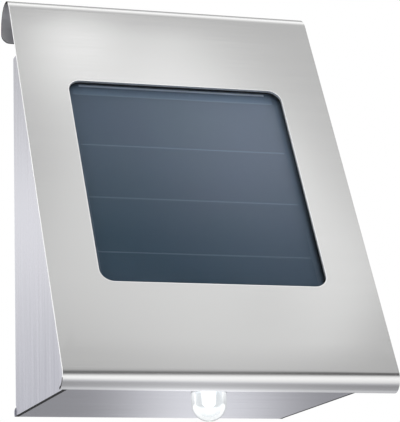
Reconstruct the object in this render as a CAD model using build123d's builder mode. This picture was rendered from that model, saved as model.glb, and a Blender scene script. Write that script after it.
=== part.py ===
from build123d import *
import os
from math import cos, hypot, radians, sin, sqrt

# Solar wall spotlight: a stainless steel wedge for a wall. Its front cover is one bent sheet that
# hooks over the side panels, carries the solar panel behind a window, and swings up for service.
# Millimetres. X runs along the wall, Y into the wall, Z up. The wall is Y = 0, and the origin is
# midway between the two wall screw holes.

# Sheet metal
sheet = 1.0
bend_inside = 0.2
bend_straight = 0.5

# Front cover
cover_width = 125.0
depth = 112.5
slant = 28.4
hook_setback = 10.8
roll_radius = 9.0
flange_drop = 5.6
flange_corner = 3.6
lip_radius = 5.0
lip_overrun = 5.0
lip_drop = 2.9
window_end_margin = 38.5
window_corner = 5.3

# Housing
side_overhang = 7.0
wall_hole_height = 122.0
wall_hole_spacing = 60.0
wall_hole_radius = 2.5
cover_gap = 0.3
hook_gap = 0.4
slot_gap = 0.5
neck_back = 2.0
shoulder_drop = 8.9
plate_setback = 1.0
rear_flange = 4.2
rear_flange_overhang = 0.5
rear_flange_corner = 2.0
rear_flange_gap = 0.3

# Solar panel
panel_side_gap = 5.0
gasket_thickness = 1.0
gasket_land = 5.8
gasket_setback = 0.2
glass_thickness = 2.0
cell_count = 4
cell_spacing = 0.5
cell_thickness = 0.4
cell_top_inset = 4.0
cell_foot_overrun = 9.5
laminate_margin = 8.0
laminate_corner = 2.0
backsheet_thickness = 1.2
junction_width = 26.0
junction_height = 15.0
junction_depth = 6.0
junction_corner = 2.0
junction_rise = 24.0

# Panel clamps
clamp_end_gap = 7.5
clamp_foot = 11.0
clamp_tongue = 5.0
clamp_gap = 0.5
stud_spacing = 64.0
stud_radius = 1.5
stud_clearance = 0.2
nut_across_flats = 5.5
nut_height = 2.4
stud_end = 1.5

# Lens and lamp
lens_radius = 6.5
lens_wall = 1.5
lens_neck = 4.0
lens_flange_radius = 9.5
lens_flange_height = 1.5
lens_setback = 80.0
lens_clearance = 0.2
seal_thickness = 1.0
holder_wall = 2.4
holder_ear = 3.0
holder_ear_radius = 4.5
holder_stud_spacing = 36.0
reflector_flange = 1.2
reflector_depth = 3.0
reflector_edge = 0.4
led_board_radius = 8.6
led_board_thickness = 1.6
led_radius = 2.5
led_length = 10.0
led_collar = 0.4
led_collar_height = 1.0
fit_clearance = 0.2
lamp_cap_height = 3.0
lamp_cap_rim = 1.5
lead_hole_radius = 1.4

# Electronics case
case_depth = 24.0
case_wall = 2.0
case_corner = 4.0
case_rise = 60.0
case_seal_thickness = 0.8
lid_thickness = 2.0
boss_radius = 3.2
boss_inset = 5.4
screw_radius = 1.25
screw_head_radius = 2.6
screw_head_height = 1.8
screw_length = 10.0
thread_clearance = 0.1
case_stud_spacing = 24.0
case_stud_radius = 2.0
case_nut_across_flats = 7.0
case_nut_height = 3.2
grommet_radius = 3.0
grommet_flange = 1.2
grommet_spacing = 36.0

# Battery
cell_radius = 7.25
cell_length = 49.5
cell_nub_radius = 2.75
cell_nub_height = 1.0
cell_side_gap = 0.5
cell_play = 0.4
holder_floor = 1.2
holder_side = 1.2
holder_end_gap = 1.55
contact_room = 2.4
contact_size = 9.0
contact_sheet = 0.5
contact_bump_radius = 2.2

# Control board and switch
board_side_gap = 1.4
board_height = 20.0
board_holder_gap = 1.8
board_thickness = 1.6
board_standoff = 9.0
board_margin = 1.5
post_radius = 2.5
post_inset = 4.0
board_screw_radius = 0.9
board_screw_head_radius = 1.9
board_screw_head_height = 1.2
board_screw_length = 5.0
chip_width = 6.0
chip_height = 5.0
chip_depth = 1.6
coil_radius = 3.6
coil_depth = 5.0
capacitor_radius = 2.5
capacitor_depth = 6.5
part_spacing = 11.0
switch_inset = 15.0
switch_width = 13.0
switch_height = 6.0
switch_depth = 5.0
switch_skin = 1.0
switch_foot_width = 5.0
switch_foot_height = 3.6
switch_foot_depth = 1.2
switch_stem_width = 3.0
switch_stem_height = 2.4
switch_stem_proud = 1.5
switch_travel = 3.0
switch_play = 0.3

# Levels and lines that the pieces share
underside = -wall_hole_height
plate_top = underside + sheet
bend_radius = sheet + bend_inside
housing_width = cover_width - 2 * side_overhang
half_housing = housing_width / 2
plate_width = housing_width - 2 * sheet
half_flange = half_housing + rear_flange_overhang
half_cover = cover_width / 2
up_y = sin(radians(slant))
up_z = cos(radians(slant))
lip_y = lip_radius - depth
lip_z = underside + lip_radius - lip_drop
plate_front = lip_y - plate_setback
foot_y = lip_y - lip_radius * up_z
foot_z = lip_z + lip_radius * up_y
roll_y = -hook_setback - roll_radius
head_y = roll_y - roll_radius * up_z
slope_length = (head_y - foot_y) / up_y
head_z = foot_z + slope_length * up_z
roll_z = head_z - roll_radius * up_y
shoulder_z = roll_z - shoulder_drop
face_angle = 180 - slant

# The slope's plane: X across, Y up the slope from the lower bend, Z out of the front face.
slope = Plane(origin=(0, foot_y, foot_z), x_dir=(1, 0, 0), z_dir=(0, -up_z, up_y))
window_v = slope_length / 2
window_height = slope_length - 2 * window_end_margin
window_top = window_v + window_height / 2
panel_width = housing_width - 2 * (sheet + panel_side_gap)
window_width = panel_width - 2 * (gasket_land + gasket_setback)
cell_width = panel_width - 2 * laminate_margin
cells_height = window_height - cell_top_inset + cell_foot_overrun
cell_stride = (cells_height + cell_spacing) / cell_count
cell_height = cell_stride - cell_spacing
panel_v = window_top - cell_top_inset - cells_height / 2
panel_height = cells_height + 2 * laminate_margin
gasket_back = sheet + gasket_thickness
glass_back = gasket_back + glass_thickness
cell_back = glass_back + cell_thickness
panel_back = glass_back + backsheet_thickness

os.makedirs("parts", exist_ok=True)


# Front cover: flange, rolled top edge, windowed slope and curled lip, bent from one sheet
with BuildPart() as front_cover:
    with BuildSketch(Plane.YZ):
        with BuildLine():
            flange_y = roll_y + roll_radius
            Line((flange_y, roll_z - flange_drop), (flange_y, roll_z))
            CenterArc((roll_y, roll_z), roll_radius, 0, face_angle)
            Line((head_y, head_z), (foot_y, foot_z))
            CenterArc((lip_y, lip_z), lip_radius, face_angle, 90 + slant + lip_overrun)
            offset(amount=sheet, side=Side.LEFT)
        make_face()
    extrude(amount=half_cover, both=True)
    fillet(front_cover.edges().filter_by(Axis.Y), radius=flange_corner)
    with BuildSketch(slope):
        with Locations((0, window_v)):
            RectangleRounded(window_width, window_height, window_corner)
    extrude(amount=-2 * sheet, mode=Mode.SUBTRACT)
front_cover.part.label = "front_cover"
export_step(front_cover.part, "parts/front_cover.step")

# Gasket: a rubber frame between the sheet and the glass, set back from the window's edge
with BuildPart() as panel_gasket:
    with BuildSketch(slope.offset(-gasket_back)):
        with Locations((0, panel_v)):
            RectangleRounded(panel_width, panel_height, laminate_corner)
        with Locations((0, window_v)):
            RectangleRounded(
                window_width + 2 * gasket_setback,
                window_height + 2 * gasket_setback,
                window_corner + gasket_setback,
                mode=Mode.SUBTRACT,
            )
    extrude(amount=gasket_thickness)
panel_gasket.part.label = "panel_gasket"
export_step(panel_gasket.part, "parts/panel_gasket.step")

# Glass of the solar panel
with BuildPart() as panel_glass:
    with BuildSketch(slope.offset(-glass_back)):
        with Locations((0, panel_v)):
            RectangleRounded(panel_width, panel_height, laminate_corner)
    extrude(amount=glass_thickness)
panel_glass.part.label = "panel_glass"
export_step(panel_glass.part, "parts/panel_glass.step")

# Four silicon strips, one above the other, against the back of the glass
with BuildPart() as solar_cells:
    with BuildSketch(slope.offset(-cell_back)):
        with Locations((0, panel_v)):
            with GridLocations(0, cell_stride, 1, cell_count):
                Rectangle(cell_width, cell_height)
    extrude(amount=cell_thickness)
solar_cells.part.label = "solar_cells"
export_step(solar_cells.part, "parts/solar_cells.step")

# Backing sheet of the panel, moulded round the cells
with BuildPart() as panel_backsheet:
    with BuildSketch(slope.offset(-panel_back)):
        with Locations((0, panel_v)):
            RectangleRounded(panel_width, panel_height, laminate_corner)
    extrude(amount=backsheet_thickness)
    with BuildSketch(slope.offset(-cell_back)):
        with Locations((0, panel_v)):
            with GridLocations(0, cell_stride, 1, cell_count):
                Rectangle(cell_width, cell_height)
    extrude(amount=cell_thickness, mode=Mode.SUBTRACT)
panel_backsheet.part.label = "panel_backsheet"
export_step(panel_backsheet.part, "parts/panel_backsheet.step")

# Junction cap on the back of the panel, with a hole for its lead
with BuildPart() as junction_cap:
    junction_v = panel_v + junction_rise
    with BuildSketch(slope.offset(-panel_back)):
        with Locations((0, junction_v)):
            RectangleRounded(junction_width, junction_height, junction_corner)
    extrude(amount=-junction_depth)
    fillet(junction_cap.faces().sort_by(Axis.Y)[-1].edges(), radius=junction_corner / 2)
    lead_plane = Plane(
        origin=slope.from_local_coords((0, junction_v, -(panel_back + junction_depth / 2))),
        x_dir=(1, 0, 0),
        z_dir=(0, up_y, up_z),
    )
    with BuildSketch(lead_plane):
        Circle(lead_hole_radius)
    extrude(amount=-junction_height, mode=Mode.SUBTRACT)
junction_cap.part.label = "junction_cap"
export_step(junction_cap.part, "parts/junction_cap.step")

# Two Z strips clamp the panel's top and bottom edges to the cover, each on two weld studs
tongue_back = panel_back + sheet
clamp_length = panel_width - 2 * clamp_end_gap
foot_middle = panel_height / 2 + clamp_gap + sheet + (clamp_foot - sheet) / 2
for clamp_name, way in (("clamp_top", 1), ("clamp_bottom", -1)):
    with BuildPart() as clamp:
        edge_v = panel_v + way * panel_height / 2
        riser_v = edge_v + way * clamp_gap
        profile = Plane(origin=slope.from_local_coords((0, 0, 0)), x_dir=(0, up_y, up_z), z_dir=(1, 0, 0))
        with BuildSketch(profile):
            with BuildLine():
                Polyline(
                    (riser_v + way * clamp_foot, -sheet),
                    (riser_v, -sheet),
                    (riser_v, -panel_back),
                    (edge_v - way * clamp_tongue, -panel_back),
                    (edge_v - way * clamp_tongue, -tongue_back),
                    (riser_v + way * sheet, -tongue_back),
                    (riser_v + way * sheet, -2 * sheet),
                    (riser_v + way * clamp_foot, -2 * sheet),
                    close=True,
                )
            make_face()
        extrude(amount=clamp_length / 2, both=True)
        with BuildSketch(slope.offset(-2 * sheet)):
            with Locations((0, panel_v + way * foot_middle)):
                with GridLocations(stud_spacing, 0, 2, 1):
                    Circle(stud_radius + stud_clearance)
        extrude(amount=sheet, mode=Mode.SUBTRACT)
    clamp.part.label = clamp_name
    export_step(clamp.part, f"parts/{clamp_name}.step")

# Four weld studs on the inside of the cover
stud_length = sheet + nut_height + stud_end
with BuildPart() as weld_studs:
    with BuildSketch(slope.offset(-sheet)):
        with Locations((0, panel_v)):
            with GridLocations(stud_spacing, 2 * foot_middle, 2, 2):
                Circle(stud_radius)
    extrude(amount=-stud_length)
weld_studs.part.label = "weld_studs"
export_step(weld_studs.part, "parts/weld_studs.step")

# Hexagon nuts on the weld studs
with BuildPart() as clamp_nuts:
    with BuildSketch(slope.offset(-2 * sheet)):
        with Locations((0, panel_v)):
            with GridLocations(stud_spacing, 2 * foot_middle, 2, 2):
                RegularPolygon(nut_across_flats / 2, 6, major_radius=False)
                Circle(stud_radius + thread_clearance, mode=Mode.SUBTRACT)
    extrude(amount=-nut_height)
clamp_nuts.part.label = "clamp_nuts"
export_step(clamp_nuts.part, "parts/clamp_nuts.step")

# Housing shell: back and two side panels from one sheet. The side panels end in round knuckles that
# the cover's rolled edge turns on, with a slot round each for the cover's flange, and are cut back at
# the front foot for the cover's lip. The back's top edge turns forward to keep rain out.
with BuildPart() as housing_shell:
    knuckle_radius = roll_radius - sheet - hook_gap
    slot_radius = hypot(roll_radius, flange_drop) + slot_gap
    side_inset = sheet + cover_gap
    corner_radius = lip_radius - side_inset
    corner_front = (lip_y - corner_radius, lip_z)
    front_foot = (foot_y + side_inset * up_z, foot_z - side_inset * up_y)
    front_head = (head_y + side_inset * up_z, head_z - side_inset * up_y)
    shell_height = roll_z + roll_radius - underside
    bend_leg = bend_radius + bend_straight
    rain_flange_front = roll_y + sqrt(slot_radius**2 - shoulder_drop**2) + slot_gap
    rain_flange_width = housing_width - 2 * bend_leg
    with BuildSketch(Plane.XY.offset(underside)):
        with BuildLine():
            FilletPolyline(
                (-half_housing, -depth),
                (-half_housing, 0),
                (half_housing, 0),
                (half_housing, -depth),
                radius=bend_radius,
            )
            offset(amount=sheet, side=Side.RIGHT)
        make_face()
    extrude(amount=shell_height)
    with BuildSketch(Plane.YZ):
        with BuildLine():
            Polyline((0, underside), (plate_front, underside), (plate_front, lip_z), corner_front)
            TangentArc(corner_front, front_foot, tangent=(0, 1))
            Polyline(
                front_foot,
                front_head,
                (roll_y, roll_z),
                (roll_y + neck_back, roll_z),
                (roll_y + neck_back, shoulder_z),
                (0, shoulder_z),
                (0, underside),
            )
        make_face()
        with Locations((roll_y, roll_z)):
            Circle(knuckle_radius)
    extrude(amount=half_housing, both=True, mode=Mode.INTERSECT)
    with BuildSketch(Plane.YZ):
        with Locations((roll_y, roll_z)):
            Circle(slot_radius)
            Circle(knuckle_radius, mode=Mode.SUBTRACT)
        with Locations((roll_y + neck_back, roll_z)):
            Rectangle(4 * slot_radius, 4 * slot_radius, align=(Align.MAX, Align.CENTER), mode=Mode.SUBTRACT)
    extrude(amount=half_housing, both=True, mode=Mode.SUBTRACT)
    with BuildSketch(Plane.XZ):
        with Locations((0, shoulder_z)):
            Rectangle(rain_flange_width, bend_leg, align=(Align.CENTER, Align.MAX))
    extrude(amount=sheet, mode=Mode.SUBTRACT)
    with BuildSketch(Plane.YZ):
        with BuildLine():
            FilletPolyline(
                (0, shoulder_z - bend_leg),
                (0, shoulder_z),
                (rain_flange_front, shoulder_z),
                radius=bend_radius,
            )
            offset(amount=sheet, side=Side.LEFT)
        make_face()
    extrude(amount=rain_flange_width / 2, both=True)
    with BuildSketch(Plane.YZ):
        with Locations((0, underside)):
            Rectangle(
                bend_radius + rear_flange_gap,
                rear_flange + rear_flange_gap,
                align=(Align.MAX, Align.MIN),
            )
    extrude(amount=half_housing, both=True, mode=Mode.SUBTRACT)
    with BuildSketch(Plane.XZ):
        with GridLocations(wall_hole_spacing, 0, 2, 1):
            Circle(wall_hole_radius)
    extrude(amount=sheet, mode=Mode.SUBTRACT)
housing_shell.part.label = "housing_shell"
export_step(housing_shell.part, "parts/housing_shell.step")

# Bottom plate, welded in between the side panels, with an upturned rear flange whose ends stand
# proud of them, and the lens hole
with BuildPart() as bottom_plate:
    with BuildSketch(Plane.YZ):
        with BuildLine():
            FilletPolyline(
                (plate_front, underside),
                (0, underside),
                (0, underside + rear_flange),
                radius=bend_radius,
            )
            offset(amount=sheet, side=Side.LEFT)
        make_face()
    extrude(amount=half_flange, both=True)
    fillet(bottom_plate.edges().filter_by(Axis.Y).group_by(Axis.Z)[-1], radius=rear_flange_corner)
    with BuildSketch(Plane.XY.offset(underside)):
        with Locations((0, -bend_radius)):
            Rectangle(2 * half_flange, depth, align=(Align.CENTER, Align.MAX))
            Rectangle(plate_width, depth, align=(Align.CENTER, Align.MAX), mode=Mode.SUBTRACT)
    extrude(amount=sheet, mode=Mode.SUBTRACT)
    with Locations((0, -lens_setback, plate_top)):
        Hole(lens_radius + lens_clearance)
bottom_plate.part.label = "bottom_plate"
export_step(bottom_plate.part, "parts/bottom_plate.step")

# Lens and lamp stand on one upright axis: the section plane has X across and Y up from the underside.
lamp_axis = Axis((0, -lens_setback, 0), (0, 0, 1))
lamp_section = Plane(origin=(0, -lens_setback, underside), x_dir=(1, 0, 0), z_dir=(0, -1, 0))
lens_seat = sheet + seal_thickness
lens_top = lens_seat + lens_flange_height
lens_bore = lens_radius - lens_wall
board_seat = lens_top + reflector_flange
board_top = board_seat + led_board_thickness
cap_top = board_top + lamp_cap_height
reflector_radius = led_board_radius - lamp_cap_rim
holder_bore = reflector_radius + fit_clearance
board_bore = led_board_radius + fit_clearance
holder_radius = max(lens_flange_radius, led_board_radius) + fit_clearance + holder_wall

# Clear lens: a thick-walled neck with a domed end, hung by its flange from inside the bottom plate
with BuildPart() as lens:
    with BuildSketch(lamp_section):
        with BuildLine():
            CenterArc((0, -lens_neck), lens_radius, 270, 90)
            Polyline(
                (lens_radius, -lens_neck),
                (lens_radius, lens_seat),
                (lens_flange_radius, lens_seat),
                (lens_flange_radius, lens_top),
                (lens_bore, lens_top),
                (lens_bore, -lens_neck),
            )
            CenterArc((0, -lens_neck), lens_bore, 0, -90)
            Line((0, -lens_neck - lens_bore), (0, -lens_neck - lens_radius))
        make_face()
    revolve(axis=lamp_axis)
lens.part.label = "lens"
export_step(lens.part, "parts/lens.step")

# Flat ring seal under the lens flange
with BuildPart() as lens_seal:
    with BuildSketch(Plane.XY.offset(plate_top)):
        with Locations((0, -lens_setback)):
            Circle(lens_flange_radius)
            Circle(lens_radius + lens_clearance, mode=Mode.SUBTRACT)
    extrude(amount=seal_thickness)
lens_seal.part.label = "lens_seal"
export_step(lens_seal.part, "parts/lens_seal.step")

# Lamp holder: a turned cup over the lens flange, with two ears on the bottom plate's studs
with BuildPart() as lamp_holder:
    with BuildSketch(Plane.XY.offset(plate_top)):
        with Locations((0, -lens_setback)):
            SlotCenterToCenter(holder_stud_spacing, 2 * holder_ear_radius)
    extrude(amount=holder_ear)
    with BuildSketch(Plane.XY.offset(plate_top)):
        with Locations((0, -lens_setback)):
            Circle(holder_radius)
    extrude(amount=cap_top - sheet)
    with BuildSketch(lamp_section):
        with BuildLine():
            Polyline(
                (0, sheet),
                (lens_flange_radius + fit_clearance, sheet),
                (lens_flange_radius + fit_clearance, lens_top),
                (holder_bore, lens_top),
                (holder_bore, board_seat),
                (board_bore, board_seat),
                (board_bore, cap_top),
                (0, cap_top),
                close=True,
            )
        make_face()
    revolve(axis=lamp_axis, mode=Mode.SUBTRACT)
    with BuildSketch(Plane.XY.offset(plate_top)):
        with Locations((0, -lens_setback)):
            with GridLocations(holder_stud_spacing, 0, 2, 1):
                Circle(stud_radius + stud_clearance)
    extrude(amount=holder_ear, mode=Mode.SUBTRACT)
lamp_holder.part.label = "lamp_holder"
export_step(lamp_holder.part, "parts/lamp_holder.step")

# Two weld studs on the bottom plate, and their nuts
with BuildPart() as lamp_studs:
    with BuildSketch(Plane.XY.offset(plate_top)):
        with Locations((0, -lens_setback)):
            with GridLocations(holder_stud_spacing, 0, 2, 1):
                Circle(stud_radius)
    extrude(amount=holder_ear + nut_height + stud_end)
lamp_studs.part.label = "lamp_studs"
export_step(lamp_studs.part, "parts/lamp_studs.step")

with BuildPart() as lamp_nuts:
    with BuildSketch(Plane.XY.offset(plate_top + holder_ear)):
        with Locations((0, -lens_setback)):
            with GridLocations(holder_stud_spacing, 0, 2, 1):
                RegularPolygon(nut_across_flats / 2, 6, major_radius=False)
                Circle(stud_radius + thread_clearance, mode=Mode.SUBTRACT)
    extrude(amount=nut_height)
lamp_nuts.part.label = "lamp_nuts"
export_step(lamp_nuts.part, "parts/lamp_nuts.step")

# Reflector: a bright cone round the LED, let into the lens bore and hung on the lens by its flange
with BuildPart() as reflector:
    throat_radius = led_radius + led_collar + fit_clearance
    reflector_skirt = lens_bore - fit_clearance
    skirt_foot = lens_top - reflector_depth
    with BuildSketch(lamp_section):
        with BuildLine():
            Polyline(
                (throat_radius, board_seat),
                (reflector_radius, board_seat),
                (reflector_radius, lens_top),
                (reflector_skirt, lens_top),
                (reflector_skirt, skirt_foot),
                (reflector_skirt - reflector_edge, skirt_foot),
                close=True,
            )
        make_face()
    revolve(axis=lamp_axis)
reflector.part.label = "reflector"
export_step(reflector.part, "parts/reflector.step")

# Round LED board on the holder's ledge, the LED that hangs from it into the lens, and the holder's cap
with BuildPart() as led_board:
    with BuildSketch(Plane.XY.offset(underside + board_seat)):
        with Locations((0, -lens_setback)):
            Circle(led_board_radius)
    extrude(amount=led_board_thickness)
led_board.part.label = "led_board"
export_step(led_board.part, "parts/led_board.step")

with BuildPart() as led_emitter:
    with BuildSketch(lamp_section):
        with BuildLine():
            dome_base = board_seat - led_length + led_radius
            collar_foot = board_seat - led_collar_height
            CenterArc((0, dome_base), led_radius, 270, 90)
            Polyline(
                (led_radius, dome_base),
                (led_radius, collar_foot),
                (led_radius + led_collar, collar_foot),
                (led_radius + led_collar, board_seat),
                (0, board_seat),
                (0, dome_base - led_radius),
            )
        make_face()
    revolve(axis=lamp_axis)
led_emitter.part.label = "led_emitter"
export_step(led_emitter.part, "parts/led_emitter.step")

with BuildPart() as lamp_cap:
    with BuildSketch(Plane.XY.offset(underside + board_top)):
        with Locations((0, -lens_setback)):
            Circle(led_board_radius)
            Circle(lead_hole_radius, mode=Mode.SUBTRACT)
    extrude(amount=lamp_cap_height)
    with BuildSketch(Plane.XY.offset(underside + cap_top)):
        with Locations((0, -lens_setback)):
            Circle(holder_radius)
            Circle(lead_hole_radius, mode=Mode.SUBTRACT)
    extrude(amount=lamp_cap_rim)
    fillet(lamp_cap.faces().sort_by(Axis.Z)[-1].outer_wire().edges(), radius=lamp_cap_rim / 2)
lamp_cap.part.label = "lamp_cap"
export_step(lamp_cap.part, "parts/lamp_cap.step")

# Electronics case: planes face the front, with X across and Y up from the case's middle.
case_z = underside + case_rise
case_back = Plane(origin=(0, -sheet, case_z), x_dir=(1, 0, 0), z_dir=(0, -1, 0))
case_floor = case_back.offset(case_wall)
case_rim = case_back.offset(case_depth)
lid_back = case_rim.offset(case_seal_thickness)
lid_front = lid_back.offset(lid_thickness)
cell_pitch = 2 * cell_radius + cell_side_gap
holder_length = cell_length + cell_nub_height + 2 * contact_room + 2 * holder_side
holder_height = cell_pitch + 2 * (cell_radius + cell_play + holder_side)
inner_height = holder_height + board_holder_gap + board_height + board_margin
case_height = inner_height + 2 * case_wall
case_width = holder_length + 2 * (holder_end_gap + boss_radius + boss_inset)
inner_width = case_width - 2 * case_wall
inner_corner = case_corner - case_wall
boss_across = case_width - 2 * boss_inset
boss_up = case_height - 2 * boss_inset
board_width = boss_across - 2 * (boss_radius + board_side_gap)
board_v = inner_height / 2 - board_margin - board_height / 2
post_spacing = board_width - 2 * post_inset
switch_offset = board_width / 2 - switch_inset
grommet_y = -sheet - case_depth / 2
holder_depth = holder_floor + 2 * cell_radius + cell_play
battery_v = holder_height / 2 - inner_height / 2
cell_depth = holder_floor + cell_radius + cell_play
board_back = case_floor.offset(board_standoff)
board_front = board_back.offset(board_thickness)
slot_width = switch_stem_width + switch_travel + 2 * switch_play
slot_height = switch_stem_height + 2 * switch_play

with BuildPart() as electronics_case:
    with BuildSketch(case_back):
        RectangleRounded(case_width, case_height, case_corner)
    extrude(amount=case_depth)
    with BuildSketch(case_floor):
        RectangleRounded(inner_width, inner_height, inner_corner)
    extrude(amount=case_depth - case_wall, mode=Mode.SUBTRACT)
    with BuildSketch(case_floor):
        with GridLocations(boss_across, boss_up, 2, 2):
            Circle(boss_radius)
    extrude(amount=case_depth - case_wall)
    with BuildSketch(case_floor):
        with Locations((0, board_v)):
            with GridLocations(post_spacing, 0, 2, 1):
                Circle(post_radius)
    extrude(amount=board_standoff)
    with BuildSketch(case_rim):
        with GridLocations(boss_across, boss_up, 2, 2):
            Circle(screw_radius + thread_clearance)
    extrude(amount=-screw_length, mode=Mode.SUBTRACT)
    with BuildSketch(board_back):
        with Locations((0, board_v)):
            with GridLocations(post_spacing, 0, 2, 1):
                Circle(board_screw_radius + thread_clearance)
    extrude(amount=-board_screw_length, mode=Mode.SUBTRACT)
    with BuildSketch(case_back):
        with Locations((0, board_v)):
            with GridLocations(case_stud_spacing, 0, 2, 1):
                Circle(case_stud_radius + stud_clearance)
    extrude(amount=case_wall, mode=Mode.SUBTRACT)
    with BuildSketch(Plane.XY.offset(case_z + case_height / 2)):
        with Locations((0, grommet_y)):
            with GridLocations(grommet_spacing, 0, 2, 1):
                Circle(grommet_radius)
    extrude(amount=-case_wall, mode=Mode.SUBTRACT)
electronics_case.part.label = "electronics_case"
export_step(electronics_case.part, "parts/electronics_case.step")

# Weld studs on the housing's back, and their nuts inside the case
with BuildPart() as case_studs:
    with BuildSketch(case_back):
        with Locations((0, board_v)):
            with GridLocations(case_stud_spacing, 0, 2, 1):
                Circle(case_stud_radius)
    extrude(amount=case_wall + case_nut_height + stud_end)
case_studs.part.label = "case_studs"
export_step(case_studs.part, "parts/case_studs.step")

with BuildPart() as case_nuts:
    with BuildSketch(case_floor):
        with Locations((0, board_v)):
            with GridLocations(case_stud_spacing, 0, 2, 1):
                RegularPolygon(case_nut_across_flats / 2, 6, major_radius=False)
                Circle(case_stud_radius + thread_clearance, mode=Mode.SUBTRACT)
    extrude(amount=case_nut_height)
case_nuts.part.label = "case_nuts"
export_step(case_nuts.part, "parts/case_nuts.step")

# Rubber grommets in the case's top wall, a flange on each side of the wall
with BuildPart() as case_grommets:
    wall_outside = case_z + case_height / 2
    wall_inside = wall_outside - case_wall
    flange_radius = grommet_radius + grommet_flange
    for low, high, radius in (
        (wall_inside - grommet_flange, wall_inside, flange_radius),
        (wall_inside, wall_outside, grommet_radius),
        (wall_outside, wall_outside + grommet_flange, flange_radius),
    ):
        with BuildSketch(Plane.XY.offset(low)):
            with Locations((0, grommet_y)):
                with GridLocations(grommet_spacing, 0, 2, 1):
                    Circle(radius)
                    Circle(lead_hole_radius, mode=Mode.SUBTRACT)
        extrude(amount=high - low)
case_grommets.part.label = "case_grommets"
export_step(case_grommets.part, "parts/case_grommets.step")

# Case seal, lid and lid screws
with BuildPart() as case_seal:
    with BuildSketch(case_rim):
        RectangleRounded(case_width, case_height, case_corner)
        RectangleRounded(inner_width, inner_height, inner_corner, mode=Mode.SUBTRACT)
    extrude(amount=case_seal_thickness)
case_seal.part.label = "case_seal"
export_step(case_seal.part, "parts/case_seal.step")

with BuildPart() as case_lid:
    with BuildSketch(lid_back):
        RectangleRounded(case_width, case_height, case_corner)
        with GridLocations(boss_across, boss_up, 2, 2):
            Circle(screw_radius + stud_clearance, mode=Mode.SUBTRACT)
        with Locations((switch_offset, board_v)):
            Rectangle(slot_width + switch_play, slot_height + switch_play, mode=Mode.SUBTRACT)
    extrude(amount=lid_thickness)
    chamfer(case_lid.faces().sort_by(Axis.Y)[0].outer_wire().edges(), length=lid_thickness / 4)
case_lid.part.label = "case_lid"
export_step(case_lid.part, "parts/case_lid.step")

with BuildPart() as case_screws:
    with BuildSketch(lid_front):
        with GridLocations(boss_across, boss_up, 2, 2):
            Circle(screw_head_radius)
    extrude(amount=screw_head_height)
    with BuildSketch(lid_front):
        with GridLocations(boss_across, boss_up, 2, 2):
            Circle(screw_radius)
    extrude(amount=-screw_length)
case_screws.part.label = "case_screws"
export_step(case_screws.part, "parts/case_screws.step")

# Battery: an open tray with two cells side by side, turned opposite ways, and their end contacts
with BuildPart() as battery_holder:
    with BuildSketch(case_floor):
        with Locations((0, battery_v)):
            Rectangle(holder_length, holder_height)
    extrude(amount=holder_depth)
    with BuildSketch(case_floor.offset(holder_floor)):
        with Locations((0, battery_v)):
            Rectangle(holder_length - 2 * holder_side, holder_height - 2 * holder_side)
    extrude(amount=holder_depth - holder_floor, mode=Mode.SUBTRACT)
battery_holder.part.label = "battery_holder"
export_step(battery_holder.part, "parts/battery_holder.step")

cell_axis_y = case_floor.origin.Y - cell_depth
cell_reach = (cell_length + cell_nub_height) / 2
with BuildPart() as battery_cells:
    for way in (1, -1):
        cell_end = Plane(
            origin=(-way * cell_reach, cell_axis_y, case_z + battery_v + way * cell_pitch / 2),
            x_dir=(0, 0, 1),
            z_dir=(way, 0, 0),
        )
        with BuildSketch(cell_end):
            Circle(cell_radius)
        extrude(amount=cell_length)
        with BuildSketch(cell_end.offset(cell_length)):
            Circle(cell_nub_radius)
        extrude(amount=cell_nub_height)
battery_cells.part.label = "battery_cells"
export_step(battery_cells.part, "parts/battery_cells.step")

with BuildPart() as battery_contacts:
    for side in (1, -1):
        with BuildSketch(Plane.YZ.offset(side * (cell_reach + contact_room))):
            with Locations((cell_axis_y, case_z + battery_v)):
                with GridLocations(0, cell_pitch, 1, 2):
                    Rectangle(contact_size, contact_size)
        extrude(amount=-side * contact_sheet)
        with BuildSketch(Plane.YZ.offset(side * (cell_reach + contact_room - contact_sheet))):
            with Locations((cell_axis_y, case_z + battery_v)):
                with GridLocations(0, cell_pitch, 1, 2):
                    Circle(contact_bump_radius)
        extrude(amount=-side * (contact_room - contact_sheet))
battery_contacts.part.label = "battery_contacts"
export_step(battery_contacts.part, "parts/battery_contacts.step")

# Control board on two posts, its screws and its larger components
with BuildPart() as control_board:
    with BuildSketch(board_back):
        with Locations((0, board_v)):
            Rectangle(board_width, board_height)
            with GridLocations(post_spacing, 0, 2, 1):
                Circle(board_screw_radius + thread_clearance, mode=Mode.SUBTRACT)
    extrude(amount=board_thickness)
control_board.part.label = "control_board"
export_step(control_board.part, "parts/control_board.step")

with BuildPart() as board_screws:
    with BuildSketch(board_front):
        with Locations((0, board_v)):
            with GridLocations(post_spacing, 0, 2, 1):
                Circle(board_screw_head_radius)
    extrude(amount=board_screw_head_height)
    with BuildSketch(board_front):
        with Locations((0, board_v)):
            with GridLocations(post_spacing, 0, 2, 1):
                Circle(board_screw_radius)
    extrude(amount=-board_screw_length)
board_screws.part.label = "board_screws"
export_step(board_screws.part, "parts/board_screws.step")

with BuildPart() as board_components:
    with BuildSketch(board_front):
        with Locations((-part_spacing / 2, board_v)):
            Rectangle(chip_width, chip_height)
    extrude(amount=chip_depth)
    with BuildSketch(board_front):
        with Locations((-part_spacing * 3 / 2, board_v)):
            Circle(coil_radius)
    extrude(amount=coil_depth)
    with BuildSketch(board_front):
        with Locations((part_spacing / 3, board_v)):
            Circle(capacitor_radius)
    extrude(amount=capacitor_depth)
board_components.part.label = "board_components"
export_step(board_components.part, "parts/board_components.step")

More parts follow.
